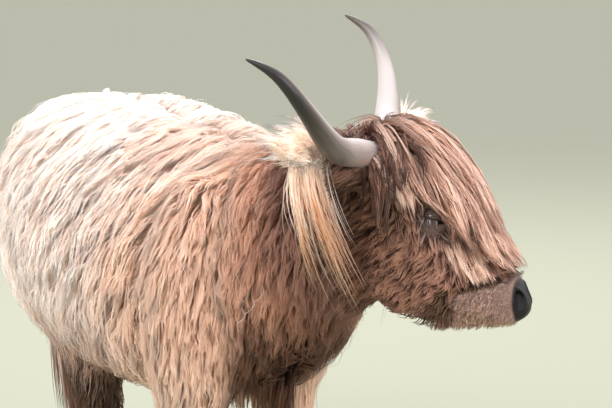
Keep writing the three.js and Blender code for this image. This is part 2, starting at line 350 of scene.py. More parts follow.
NOSTRIL = np.array((0.470, 0.038, -0.010))
local = seen_from(HEAD, points)
mouth = seen_from(MOUTH, points)
out_ways = outward(points, triangles)
head_turn = np.array(HEAD.to_3x3())
front_only = smooth(0.36, 0.40, local[:, 0]) * (np.linalg.norm(local, axis=1) < 0.6)
shift = np.zeros_like(points)
painted_hollow_shade = np.zeros(len(points))  # painted shade: the dark inside of nostrils, the lid slits and the line of the lips
for s in SIDES.values():
    offset = local - NOSTRIL * (1, s, 1)
    # A comma: a round hole whose tail sweeps back and up along the side of the nose.
    along_tail = offset[:, 0] * -0.8 + offset[:, 2] * 0.35
    hole = np.linalg.norm(offset / (0.019, 0.016, 0.019), axis=1)
    tail = np.linalg.norm((offset - np.array((-0.018, 0.008 * s, 0.010))) / (0.016, 0.012, 0.007), axis=1)
    pit = np.maximum(smooth(1.15, 0.45, hole), 0.45 * smooth(1.1, 0.4, tail))
    rim = np.exp(-((hole - 1.35) / 0.28) ** 2) * 0.0028
    inwards = unit(np.array([[-0.85, -0.45 * s, 0.12]])) @ head_turn.T
    shift += inwards * (pit * 0.022 * front_only)[:, None]
    painted_hollow_shade = np.maximum(painted_hollow_shade, smooth(0.35, 0.75, pit) * front_only)
    shift += out_ways * (rim * front_only)[:, None]
lip_line = smooth(0.0085, 0.0, np.abs(mouth[:, 2])) * smooth(-0.135, -0.10, mouth[:, 0])
on_head = np.linalg.norm(local, axis=1) < 0.6
shift -= out_ways * (lip_line * 0.008 * on_head)[:, None]
painted_hollow_shade = np.maximum(painted_hollow_shade, smooth(0.3, 0.8, lip_line) * on_head)
painted_hollow_shade = np.maximum(painted_hollow_shade, lid_shade)
philtrum = np.exp(-(local[:, 1] / 0.0022) ** 2) * smooth(0.47, 0.49, local[:, 0]) * (local[:, 2] < -0.03)
shift -= out_ways * (philtrum * 0.0025 * on_head)[:, None]
points = points + shift
skin.data.vertices.foreach_set("co", points.ravel())
# The painted shade of nostrils, lid slits and lip line, kept for the hide's colour.
attribute = skin.data.attributes.new("painted_hollow_shade", "FLOAT", "POINT")
attribute.data.foreach_set("value", painted_hollow_shade)
skin.data.update()

bpy.context.view_layer.objects.active = skin
skin.select_set(True)
bpy.ops.object.mode_set(mode="EDIT")
bpy.ops.mesh.select_all(action="SELECT")
bpy.ops.uv.smart_project(angle_limit=math.radians(60), island_margin=0.001)
bpy.ops.object.mode_set(mode="OBJECT")
skin.data.uv_layers[0].name = "OFBake"
skin_points, skin_triangles = arrays(skin.data)
skin_out = outward(skin_points, skin_triangles)
skin_tree = tree_of(skin_points, skin_triangles)
skin_owner = solid_owner[nearest(solid_tree, skin_points)[2]]
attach(skin, "root")
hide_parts(*FLESH)
print("skin triangles", len(skin_triangles))

# The coat's colours, in one group that the hide and every tuft read by the same places: cream
# over the back and rump, tan flanks, brown neck and face, dark legs and brisket.
def linear(hex_colour):
    """A colour written as #rrggbb, for a shader socket."""
    parts = [int(hex_colour[n : n + 2], 16) / 255 for n in (1, 3, 5)]
    return (*[c / 12.92 if c <= 0.04045 else ((c + 0.055) / 1.055) ** 2.4 for c in parts], 1)


COLOURS = {  # at the root of the hair and at its tip
    "tan": ("#d6ab94", "#efccb6"),
    "cream": ("#f2dccf", "#fdf1e9"),
    "brown": ("#8f614d", "#b98c77"),
    "chest": ("#33211a", "#6e5040"),
    "leg": ("#241812", "#57402f"),
    "face": ("#3d2820", "#916b5d"),
    "bare": ("#5a4840", "#93807a"),
    "ear": ("#d8c2b2", "#f1e4da"),
    "switch": ("#1c0f0a", "#5e361f"),
    "lip": ("#7a6058", "#cbaa9c"),
    "pad": ("#0b090a", "#110e0f"),
    "udder": ("#b58878", "#d8b3a2"),
}
markings = bpy.data.node_groups.new("coat_markings", "ShaderNodeTree")
markings.interface.new_socket("Place", in_out="INPUT", socket_type="NodeSocketVector")
for socket in ("Root", "Tip"):
    markings.interface.new_socket(socket, in_out="OUTPUT", socket_type="NodeSocketColor")
markings.interface.new_socket("Pad", in_out="OUTPUT", socket_type="NodeSocketFloat")


class Wiring:
    """Adds and joins the nodes of one tree."""

    def __init__(self, tree):
        self.tree = tree

    def node(self, kind, inputs=None, **settings):
        made = self.tree.nodes.new(kind)
        for name, value in settings.items():
            setattr(made, name, value)
        for key, value in (inputs or {}).items():
            if isinstance(value, bpy.types.NodeSocket):
                self.tree.links.new(value, made.inputs[key])
            else:
                made.inputs[key].default_value = value
        return made

    def math(self, operation, a, b=0.0, clamp=False):
        made = self.node("ShaderNodeMath", {0: a, 1: b}, operation=operation, use_clamp=clamp)
        return made.outputs[0]

    def smooth(self, value, low, high):
        """0 at low and 1 at high, in an even S; low may be the greater."""
        made = self.node(
            "ShaderNodeMapRange",
            {"Value": value, "From Min": low, "From Max": high},
            interpolation_type="SMOOTHSTEP",
        )
        return made.outputs["Result"]

    def noise(self, place, scale, detail=2.0, rough=0.5):
        made = self.node(
            "ShaderNodeTexNoise",
            {"Vector": place, "Scale": scale, "Detail": detail, "Roughness": rough},
        )
        return made.outputs["Fac"]

    def stretched(self, place, scale, turn=(0, 0, 0), at=(0, 0, 0)):
        made = self.node(
            "ShaderNodeMapping", {"Vector": place, "Scale": scale, "Rotation": turn, "Location": at}
        )
        return made.outputs["Vector"]

    def distance(self, place, centre):
        made = self.node("ShaderNodeVectorMath", {0: place, 1: centre}, operation="DISTANCE")
        return made.outputs["Value"]

    def along(self, place, way):
        made = self.node("ShaderNodeVectorMath", {0: place, 1: way}, operation="DOT_PRODUCT")
        return made.outputs["Value"]

    def mix(self, share, a, b, blend="MIX"):
        made = self.node("ShaderNodeMix", {0: share}, data_type="RGBA", blend_type=blend)
        for key, value in ((6, a), (7, b)):
            if isinstance(value, bpy.types.NodeSocket):
                self.tree.links.new(value, made.inputs[key])
            else:
                made.inputs[key].default_value = value
        return made.outputs[2]


w = Wiring(markings)
place = w.node("NodeGroupInput").outputs["Place"]
parted = w.node("ShaderNodeSeparateXYZ", {0: place})
x, y, z = (parted.outputs[n] for n in range(3))
cloud = w.math("SUBTRACT", w.noise(place, 3.2, 3.0), 0.5)
locks = w.math("SUBTRACT", w.noise(w.stretched(place, (17, 17, 5)), 1.0, 2.0), 0.5)
drift = w.math("ADD", w.math("MULTIPLY", cloud, 0.55), w.math("MULTIPLY", locks, 0.35))


def head_distance(place, centre):
    return w.distance(place, tuple(HEAD @ Vector(centre)))


def warped(value, share):
    return w.math("ADD", value, w.math("MULTIPLY", drift, share))


def both(*masks):
    total = masks[0]
    for mask in masks[1:]:
        total = w.math("MULTIPLY", total, mask)
    return total


front = warped(w.math("SUBTRACT", x, w.math("MULTIPLY", w.math("SUBTRACT", z, 0.95), 0.55)), 0.55)
from_chest = w.math("ABSOLUTE", w.math("SUBTRACT", y, 0.005))
zones = [
    ("cream", w.smooth(front, 0.42, -0.16)),
    ("tan", w.math("MULTIPLY", both(
        w.smooth(w.noise(place, 6.5, 2.0), 0.54, 0.66), w.smooth(z, 1.02, 0.90)
    ), 0.85)),
    ("brown", w.smooth(warped(x, 0.35), 0.28, 0.52)),
    ("brown", both(w.smooth(warped(z, 0.2), 0.72, 0.52), w.smooth(x, 0.12, -0.10), 0.72)),
    ("chest", both(
        w.smooth(warped(x, 0.1), 0.27, 0.36),
        w.smooth(warped(z, 0.25), 0.80, 0.62),
        w.smooth(from_chest, 0.19, 0.12),
    )),
    ("leg", w.smooth(w.math("ADD", warped(z, 0.15), w.math("MULTIPLY", w.smooth(x, -0.1, 0.2), 0.12)), 0.56, 0.44)),
    ("switch", both(
        w.smooth(x, -0.83, -0.87), w.smooth(z, 0.72, 0.56), w.smooth(w.math("ABSOLUTE", w.math("SUBTRACT", y, 0.03)), 0.11, 0.085)
    )),
    ("udder", both(
        w.smooth(w.distance(place, tuple(sum(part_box("udder"), Vector()) / 2)), 0.19, 0.15),
        w.smooth(z, 0.58, 0.52),
    )),
    ("face", w.smooth(warped(head_distance(place, (0.16, 0, -0.10)), 0.12), 0.33, 0.25)),
]
# Darker hair shows where the coat parts: on the flank and along the spine. At the tail's root the darker patch is
# painted shade.
dock_low, dock_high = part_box("tail_dock")
for spot, reach, share in (
    ((-0.297, -0.28, 0.96), 0.075, 0.6), ((-0.007, -0.317, 0.817), 0.07, 0.65), ((0.11, -0.02, 1.09), 0.20, 0.4),
    ((dock_high.x, (dock_low.y + dock_high.y) / 2, dock_high.z), 0.11, 0.45),
):
    zones.append(("brown", w.math("MULTIPLY", w.smooth(warped(w.distance(place, spot), 0.1), reach, reach * 0.4), share)))
for s in SIDES.values():
    behind_cheek = tuple(turned(0) @ Vector((-0.055, 0.122 * s, -0.175)))
    zones.append(("chest", w.math("MULTIPLY", w.smooth(warped(w.distance(place, behind_cheek), 0.1), 0.095, 0.05), 0.85)))
    # Painted shadow: dark hair under the ear's root.
    ear_root_shadow = tuple(turned(0) @ Vector((0.01, 0.125 * s, -0.13)))
    zones.append(("chest", w.math("MULTIPLY", w.smooth(warped(w.distance(place, ear_root_shadow), 0.1), 0.12, 0.06), 0.92)))
    # Painted shadow: dark hair at the corner of the mouth, under the lip's lobe.
    mouth_corner_shadow = (0.378, 0.075 * s, -0.122)
    zones.append(("leg", w.math("MULTIPLY", w.smooth(head_distance(place, mouth_corner_shadow), 0.060, 0.028), 0.9)))
    # Painted shadow: dark hair under the horn.
    under_horn_shadow = (0.052, 0.112 * s, -0.080)
    zones.append(("chest", w.math("MULTIPLY", w.smooth(head_distance(place, under_horn_shadow), 0.085, 0.045), 0.95)))
EAR_TIP = {}
for side in SIDES:
    ear_points = arrays(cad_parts[f"ear_{side}"].data)[0]
    EAR_TIP[side] = ear_points[np.linalg.norm(ear_points - axis(HEAD, 3), axis=1).argmax()]
    zones.append(("ear", w.smooth(w.distance(place, tuple(EAR_TIP[side])), 0.13, 0.08)))
muzzle_run = w.math("SUBTRACT", w.along(place, tuple(axis(HEAD, 0))), float(axis(HEAD, 0) @ axis(HEAD, 3)))
muzzle_rise = w.math("SUBTRACT", w.along(place, tuple(axis(HEAD, 2))), float(axis(HEAD, 2) @ axis(HEAD, 3)))
near_nose = w.smooth(warped(head_distance(place, (0.46, 0, -0.05)), 0.06), 0.138, 0.108)
for eye_place in EYES.values():
    zones.append(("bare", w.math("MULTIPLY", w.smooth(w.distance(place, tuple(eye_place)), 0.046, 0.030), 0.85)))
under_hair = w.math("ADD", muzzle_run, w.math("MULTIPLY", muzzle_rise, -0.55))
zones.append(("lip", both(near_nose, w.smooth(warped(under_hair, 0.03), 0.412, 0.426))))
# Painted shadow: a dark band along the crease above the lip's lobe.
fold_shadow = w.smooth(w.math("ABSOLUTE", w.math("SUBTRACT", under_hair, 0.412)), 0.017, 0.007)
zones.append(("leg", both(near_nose, fold_shadow, w.smooth(muzzle_rise, 0.03, -0.02))))
pad = both(near_nose, w.smooth(
    w.math("ADD", muzzle_run, w.math("MULTIPLY", muzzle_rise, 1.16)), 0.430, 0.442
))
zones.append(("pad", pad))
root_colour, tip_colour = (linear(c) for c in COLOURS["tan"])
for zone, mask in zones:
    root_colour = w.mix(mask, root_colour, linear(COLOURS[zone][0]))
    tip_colour = w.mix(mask, tip_colour, linear(COLOURS[zone][1]))
streak = w.smooth(locks, -0.2, 0.12)
tip_colour = w.mix(w.math("SUBTRACT", 1.0, streak), tip_colour, w.mix(0.45, tip_colour, root_colour))
w.node("NodeGroupOutput", {"Root": root_colour, "Tip": tip_colour, "Pad": pad})


def painted(name):
    """A new material, its wiring and its shader."""
    look = bpy.data.materials.new(name)
    look.use_nodes = True
    return look, Wiring(look.node_tree), look.node_tree.nodes["Principled BSDF"]


hide, w, shader = painted("hide")
object_place = w.node("ShaderNodeTexCoord").outputs["Object"]
colours = w.node("ShaderNodeGroup", {"Place": object_place}, node_tree=markings)
short_hair = w.noise(w.stretched(object_place, (900, 900, 300)), 1.0, 2.0)
hide_colour = w.mix(w.smooth(short_hair, 0.35, 0.75), colours.outputs["Root"], colours.outputs["Tip"])
pores = w.node("ShaderNodeTexVoronoi", {"Vector": object_place, "Scale": 330.0}).outputs["Distance"]
on_pad = colours.outputs["Pad"]
relief = w.node("ShaderNodeMix", {0: on_pad, 2: short_hair, 3: pores}, data_type="FLOAT").outputs[0]
bump = w.node("ShaderNodeBump", {"Height": relief, "Strength": 0.45, "Distance": 0.002})
# Painted shade: nostrils, lid slits and the lip line are darkened almost to black.
painted_hollow_shade_mark = w.node("ShaderNodeAttribute", attribute_name="painted_hollow_shade").outputs["Fac"]
hide_colour = w.mix(w.math("MULTIPLY", painted_hollow_shade_mark, 0.92), hide_colour, linear("#080506"))
w.tree.links.new(hide_colour, shader.inputs["Base Color"])
w.tree.links.new(bump.outputs[0], shader.inputs["Normal"])
rough = w.node("ShaderNodeMapRange", {"Value": on_pad, "To Min": 0.75, "To Max": 0.42}).outputs[0]
w.tree.links.new(rough, shader.inputs["Roughness"])
shader.inputs["Specular IOR Level"].default_value = 0.25
skin.data.materials.append(hide)

# ---------------------------------------------------------------- Eyes
# A dark brown ball in each socket, wet and almost covered by its lids, with a wide pupil
# that lies level.
PUPIL, IRIS = 0.0080, 0.0145
eye_look, w, shader = painted("eye")
view = w.node("ShaderNodeAttribute", attribute_name="gaze", attribute_type="GEOMETRY").outputs["Vector"]
gaze = w.node("ShaderNodeSeparateXYZ", {0: view})
wide = w.math("MULTIPLY", gaze.outputs[0], 0.6)
pupil_reach = w.math("SQRT", w.math("ADD", w.math("MULTIPLY", wide, wide), w.math("POWER", gaze.outputs[1], 2.0)))
iris_reach = w.math("SQRT", w.math("ADD", w.math("POWER", gaze.outputs[0], 2.0), w.math("POWER", gaze.outputs[1], 2.0)))
fibres = w.noise(w.stretched(view, (600, 600, 60)), 1.0, 3.0)
iris = w.mix(fibres, linear("#1b0d06"), linear("#4a2c16"))
ball_colour = w.mix(w.smooth(iris_reach, IRIS, IRIS + 0.001), iris, linear("#4c3d33"))
ball_colour = w.mix(w.smooth(pupil_reach, PUPIL * 0.8, PUPIL * 0.6), ball_colour, linear("#040302"))
w.tree.links.new(ball_colour, shader.inputs["Base Color"])
shader.inputs["Roughness"].default_value = 0.12
shader.inputs["Coat Weight"].default_value = 1.0
shader.inputs["Coat Roughness"].default_value = 0.03
for side, s in SIDES.items():
    ball = bmesh.new()
    bmesh.ops.create_uvsphere(ball, u_segments=40, v_segments=24, radius=EYE_RADIUS)
    gazes = []
    for vertex in ball.verts:  # the ball's pole looks out of the head's side
        gazes.append(tuple(vertex.co))
        bulge = 0.0012 * max(0.0, 1 - math.hypot(vertex.co.x, vertex.co.y) / IRIS) * (vertex.co.z > 0)
        vertex.co.z += bulge
    along_way, high_way, out = eye_ways(s)
    facing = Matrix((along_way, high_way * -s, out)).transposed()
    bmesh.ops.transform(ball, matrix=Matrix.Translation(EYES[side]) @ facing.to_4x4(), verts=ball.verts)
    bmesh.ops.recalc_face_normals(ball, faces=ball.faces)
    eye = finished(ball, f"eyeball_{side}")
    attribute = eye.data.attributes.new("gaze", "FLOAT_VECTOR", "POINT")
    attribute.data.foreach_set("vector", np.array(gazes).ravel())
    eye.data.materials.append(eye_look)
    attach(eye, "root")
    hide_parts(f"eye_{side}")

# ---------------------------------------------------------------- Horns
# Two long sheaths of keratin over bone, smooth and pinkish white where they leave the hair,
# streaked grey-brown further out and almost black at the tips. Their outer side carries
# painted shade and their inner side painted light.
HORN_RING = 0.0012
HORN_ROOT = 0.045  # how far the sheath goes on inside the hair
horn_look, w, shader = painted("horn")
shape = w.node("ShaderNodeAttribute", attribute_name="grain", attribute_type="GEOMETRY").outputs["Vector"]
run = w.node("ShaderNodeAttribute", attribute_name="run", attribute_type="GEOMETRY").outputs["Fac"]
streaks = w.noise(w.stretched(shape, (2.2, 2.2, 5.0)), 3.0, 4.0, 0.6)
blotches = w.noise(shape, 2.0, 2.0)
# Which way each point faces: the outer side gets painted shade, the inner side painted light.
painted_side_shade = w.node("ShaderNodeAttribute", attribute_name="painted_side_shade", attribute_type="GEOMETRY").outputs["Fac"]
run_uneven = w.math("ADD", run, w.math("MULTIPLY", w.math("SUBTRACT", streaks, 0.5), 0.30))
# Painted shade: beyond the base, the outer side is pushed towards the darker stops.
shade = w.math("MULTIPLY", w.smooth(painted_side_shade, -0.3, 0.8), w.smooth(run, 0.05, 0.35))
run_uneven = w.math("ADD", w.math("MULTIPLY", run_uneven, 0.85), w.math("MULTIPLY", shade, 0.38))
ramp = w.node("ShaderNodeValToRGB", {"Fac": run_uneven})
stops = (
    (0.0, "#8f7570"), (0.16, "#ab9893"), (0.40, "#978c87"), (0.64, "#6c625b"), (0.86, "#443a34"), (1.0, "#171211"),
)
while len(ramp.color_ramp.elements) < len(stops):
    ramp.color_ramp.elements.new(0.5)
for element, (at, colour) in zip(ramp.color_ramp.elements, stops):
    element.position, element.color = at, linear(colour)
horn_colour = w.mix(w.smooth(streaks, 0.52, 0.72), ramp.outputs["Color"], w.mix(0.45, ramp.outputs["Color"], linear("#4a4038")))
horn_colour = w.mix(w.math("MULTIPLY", w.smooth(blotches, 0.55, 0.75), w.smooth(run, 0.35, 0.1)), horn_colour, linear("#b98f86"))
# Painted light: short of the tip, the inner side is paled.
horn_colour = w.mix(w.math("MULTIPLY", w.smooth(painted_side_shade, 0.1, -0.6), w.smooth(run, 0.95, 0.6)), horn_colour, linear("#c9c1be"))
w.tree.links.new(horn_colour, shader.inputs["Base Color"])
bump = w.node("ShaderNodeBump", {"Height": streaks, "Strength": 0.25, "Distance": 0.003})
w.tree.links.new(bump.outputs[0], shader.inputs["Normal"])
shader.inputs["Roughness"].default_value = 0.38
shader.inputs["Coat Weight"].default_value = 0.15


def subdivided(node, name, levels, crease=None):
    """A smooth copy of a solid; edges sharper than the crease angle stay."""
    mesh = merged(node)
    bmesh.ops.join_triangles(mesh, faces=mesh.faces, angle_face_threshold=0.35, angle_shape_threshold=1.2)
    if crease is not None:
        sharp = mesh.edges.layers.float.new("crease_edge")
        for edge in mesh.edges:
            edge[sharp] = 1.0 if len(edge.link_faces) == 2 and edge.calc_face_angle() > crease else 0.0
    made = finished(mesh, name)
    modifier = made.modifiers.new("smooth", "SUBSURF")
    modifier.levels = modifier.render_levels = levels
    baked(made)
    made.data.polygons.foreach_set("use_smooth", np.ones(len(made.data.polygons), bool))
    return made


for side, s in SIDES.items():
    horn = subdivided(f"horn_{side}", f"horn_sheath_{side}", 2)
    co = arrays(horn.data)[0]
    base = np.array(turned(0) @ Vector((-0.019, 0.062 * s, -0.041)))
    away = np.linalg.norm(co - base, axis=1)
    share = away / away.max()
    inward = smooth(away.min() + 0.030, away.min() + 0.008, away) * HORN_ROOT
    weight = np.exp(-((away[:, None] - away[None, :]) / 0.012) ** 2)
    middle_line = weight @ co / weight.sum(1, keepdims=True)
    radial = co - middle_line
    thick = np.linalg.norm(radial, axis=1, keepdims=True)
    rings = np.sin(away * 2 * math.pi / 0.016 + 2 * np.sin(away * 90)) * smooth(0.22, 0.02, away)
    co = co + radial / np.maximum(thick, 1e-5) * (rings * HORN_RING * 0.35)[:, None]
    root_way = base - middle_line[away.argmin()]
    co = co + root_way / np.linalg.norm(root_way) * inward[:, None]
    horn.data.vertices.foreach_set("co", co.ravel())
    grain = np.concatenate([radial / np.maximum(thick, 1e-5), away[:, None]], 1)
    # Which way each point faces, for the painted shade of the outer side and the painted light of the inner side.
    painted_side_shade = grain[:, :3] @ (axis(turned(0), 1) * s * 0.8 - axis(turned(0), 2) * 0.5)
    for name, values, kind in (
        ("grain", grain, "FLOAT_VECTOR"), ("run", share, "FLOAT"), ("painted_side_shade", painted_side_shade, "FLOAT")
    ):
        attribute = horn.data.attributes.new(name, kind, "POINT")
        if kind == "FLOAT":
            attribute.data.foreach_set("value", values)
        else:
            attribute.data.foreach_set("vector", np.stack([grain[:, 0], grain[:, 1] + grain[:, 2], grain[:, 3] * 1.0], 1).ravel())
    horn.data.update()
    horn.data.materials.append(horn_look)
    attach(horn, "root")
    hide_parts(f"horn_{side}")

# ---------------------------------------------------------------- Hooves and dew claws
# Two claws of dark keratin on each foot, grown in fine rings from the coronet and worn dull
# at the ground, and two small dew claws behind.
DEW_CLAW_SHIFT = 0.010
hoof_look, w, shader = painted("hoof")
place = w.node("ShaderNodeTexCoord").outputs["Object"]
grow_rings = w.noise(w.stretched(place, (6, 6, 220)), 1.0, 2.0)
fine = w.noise(w.stretched(place, (260, 260, 26)), 1.0, 3.0)
height = w.node("ShaderNodeSeparateXYZ", {0: place}).outputs[2]
keratin = w.mix(fine, linear("#1d1714"), linear("#4b3d33"))
keratin = w.mix(w.smooth(height, 0.03, 0.0), keratin, linear("#6f6152"))
w.tree.links.new(keratin, shader.inputs["Base Color"])
relief = w.math("ADD", grow_rings, w.math("MULTIPLY", fine, 0.5))
bump = w.node("ShaderNodeBump", {"Height": relief, "Strength": 0.35, "Distance": 0.002})
w.tree.links.new(bump.outputs[0], shader.inputs["Normal"])
shader.inputs["Roughness"].default_value = 0.5
for leg in LEGS:
    for side in SIDES:
        for kind, made_name in (("claw", "hoof"), ("dewclaw", "dew_claw")):
            node = f"{leg}_{kind}_{side}"
            claw = subdivided(node, f"{leg}_{made_name}_{side}", 2, crease=0.9)
            if kind == "dewclaw":  # its root follows the hide, which lies inside the solid
                co = arrays(claw.data)[0]
                claw.data.vertices.foreach_set("co", (co + np.array((DEW_CLAW_SHIFT, 0.0, 0.0))).ravel())
            claw.data.materials.append(hoof_look)
            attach(claw, "root")
            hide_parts(node)

# ---------------------------------------------------------------- Coat of the body
# Long wavy hair in pointed locks that overlap like thatch, down the flanks and back from the
# shoulder. Every tuft is a closed three-sided blade rooted in the hide.
rng = np.random.default_rng(11)
PLENTY = 1.0
PIECE_TRIANGLES = 190_000
PROUD = 0.002  # tips may stand this far out of the solids
PATCH = 0.003  # a tuft's own patch of the baked picture, at its root's place on the hide

skin_edges = np.zeros(len(skin.data.edges) * 2, np.int64)
skin.data.edges.foreach_get("vertices", skin_edges)
skin_edges = skin_edges.reshape(-1, 2)
triangle_loops = np.zeros(len(skin.data.loop_triangles) * 3, np.int32)
skin.data.loop_triangles.foreach_get("loops", triangle_loops)
loop_uv = np.zeros(len(skin.data.loops) * 2)
skin.data.uv_layers["OFBake"].data.foreach_get("uv", loop_uv)
corner_uv = loop_uv.reshape(-1, 2)[triangle_loops].reshape(-1, 3, 2)
skin_local = seen_from(HEAD, skin_points)


def zone_of(*nodes, rounds=3):
    """How much each point of the hide belongs to these solids."""
    mask = np.isin(skin_owner, [FLESH.index(n) for n in nodes]).astype(float)[:, None]
    for _ in range(rounds):
        mask = relaxed(mask, skin_edges, 0.6)
    return mask[:, 0]


def rooted(count, weight):
    """Roots spread evenly over the hide where the weight allows, the way out, and their uv."""
    a, b, c = (skin_points[skin_triangles[:, n]] for n in range(3))
    area = np.linalg.norm(np.cross(b - a, c - a), axis=1) * weight[skin_triangles].mean(1)
    total = np.cumsum(area)
    picks = (np.arange(count) + rng.random(count)) / count * total[-1]
    face = np.searchsorted(total, picks).clip(0, len(area) - 1)
    u, v = np.sqrt(rng.random(count)), rng.random(count)
    parts = np.stack([1 - u, u * (1 - v), u * v], 1)[:, :, None]
    corners = skin_triangles[face]
    return (
        (skin_points[corners] * parts).sum(1),
        unit((skin_out[corners] * parts).sum(1)),
        (corner_uv[face] * parts).sum(1),
    )


def kept(points, level, proud):
    """Points held between the hide and the outside of the coat, at their level or above it."""
    near, out, _ = nearest(skin_tree, points)
    height = dots(points - near, out)
    edge, edge_out, _ = nearest(envelope_tree, points)
    beyond = dots(points - edge, edge_out)
    thickness = np.maximum(height, 0) + np.maximum(-beyond, 0)
    low = np.maximum(level * thickness, 0.002)
    lifted = points + out * np.maximum(low - height, 0)[:, None]
    pressed = points - edge_out * (beyond - proud)[:, None]
    return np.where((beyond > proud)[:, None], pressed, lifted)


def grown(roots, out, lengths, lie, steps, lift, level, wave, supple=0.55, proud=PROUD):
    """Paths that leave the hide, turn into the lie of the coat and stay inside its depth."""
    path = [roots - out * 0.002]
    heading = unit(out * lift + lie(roots, out))
    stride = (lengths / steps)[:, None]
    for step in range(1, steps + 1):
        rise = min(1.0, step / (0.4 * steps))
        reached = kept(path[-1] + heading * stride, level * rise, proud)
        _, way_out, _ = nearest(skin_tree, reached)
        run = unit(reached - path[-1])
        heading = unit(run * (1 - supple) + lie(reached, way_out) * supple)
        path.append(reached)
    path = np.stack(path, 1)
    high, long_wave = wave
    phase = rng.random(len(roots)) * 2 * math.pi
    sideways = unit(np.cross(path[:, -1] - path[:, 0], out))
    run = np.arange(steps + 1) / steps
    swing = np.sin(run[None, :] * (lengths / long_wave * 2 * math.pi)[:, None] + phase[:, None])
    swing = (swing - swing[:, :1]) * high * (0.3 + 0.7 * run) * rng.uniform(0.4, 1.3, (len(roots), 1))
    return path + sideways[:, None, :] * swing[:, :, None]


def locks(count, per_lock, weight, length, lie, steps, levels=(0.15, 1.0), lift=0.6, clump=0.75, wave=(0.006, 0.08), proud=PROUD, loose=0.004):
    """Tufts gathered in locks: a few grown paths, and many that follow the nearest of them."""
    count = int(count * PLENTY)
    guides, out, _ = rooted(max(count // per_lock, 8), weight)
    guide_length = length(guides) * rng.uniform(0.7, 1.2, len(guides))
    guide_level = levels[1] - (levels[1] - levels[0]) * rng.random(len(guides)) ** 1.5
    guide_path = grown(guides, out, guide_length, lie, steps, lift, guide_level, wave, proud=proud)
    tree = KDTree(len(guides))
    for number, guide in enumerate(guides.tolist()):
        tree.insert(guide, number)
    tree.balance()
    roots, out, uv = rooted(count, weight)
    pairs = np.array([[hit[1] for hit in tree.find_n(root, 2)] for root in roots.tolist()])
    chosen = np.where(rng.random(count) < 0.85, pairs[:, 0], pairs[:, 1])
    leader = guide_path[chosen]
    scale = rng.uniform(0.75, 1.12, count)[:, None, None]
    own = roots[:, None] + (leader - leader[:, :1]) * scale
    share = (clump * (np.arange(steps + 1) / steps) ** 1.2)[None, :, None]
    share = share * rng.uniform(0.55, 1.0, (count, 1, 1))
    path = own * (1 - share) + (leader[:, :1] + (leader - leader[:, :1]) * scale) * share
    path[:, 0] -= out * 0.003
    level = guide_level[chosen] + rng.uniform(-0.12, 0.05, count)
    for step in range(1, steps + 1):
        rise = min(1.0, step / (0.4 * steps))
        path[:, step] = kept(path[:, step], level * rise, proud + rng.uniform(-0.5, 1.0, count) * loose)
    tone = np.stack([rng.random(count), rng.random(len(guides))[chosen]], 1)
    strides = np.linalg.norm(np.diff(path, axis=1), axis=2)
    sound = strides.max(1) < 2 * np.median(strides, axis=1) + 0.004
    tufts = {"path": path, "out": out, "uv": uv, "root": roots, "tone": tone}
    return {key: values[sound] for key, values in tufts.items()}


def sprays(count, per_lock, weight, length, first, then, steps, spread=0.25, clump=0.6):
    """Tufts that stand free of the hide: they leave it one way and bend to another."""
    count = int(count * PLENTY)
    guides, out, _ = rooted(max(count // per_lock, 8), weight)
    way = unit(first(guides, out) + rng.normal(0, spread, guides.shape))
    reach = length(guides) * rng.uniform(0.75, 1.2, len(guides))
    tree = KDTree(len(guides))
    for number, guide in enumerate(guides.tolist()):
        tree.insert(guide, number)
    tree.balance()
    roots, out, uv = rooted(count, weight)
    chosen = np.array([tree.find(root)[1] for root in roots.tolist()])
    run = (np.arange(steps + 1) / steps)[None, :, None]
    own = unit(way[chosen] + rng.normal(0, 0.09, roots.shape))[:, None]
    bend = then(roots, out)[:, None] - own
    reach = (reach[chosen] * rng.uniform(0.7, 1.1, count))[:, None, None]
    drawn = (guides[chosen] - roots)[:, None] * clump * run
    path = roots[:, None] + drawn + reach * (own * run + bend * run**2 * 0.5)
    path[:, 0] -= out * 0.003
    tone = np.stack([rng.random(count), rng.random(len(guides))[chosen]], 1)
    return {"path": path, "out": out, "uv": uv, "root": roots, "tone": tone}


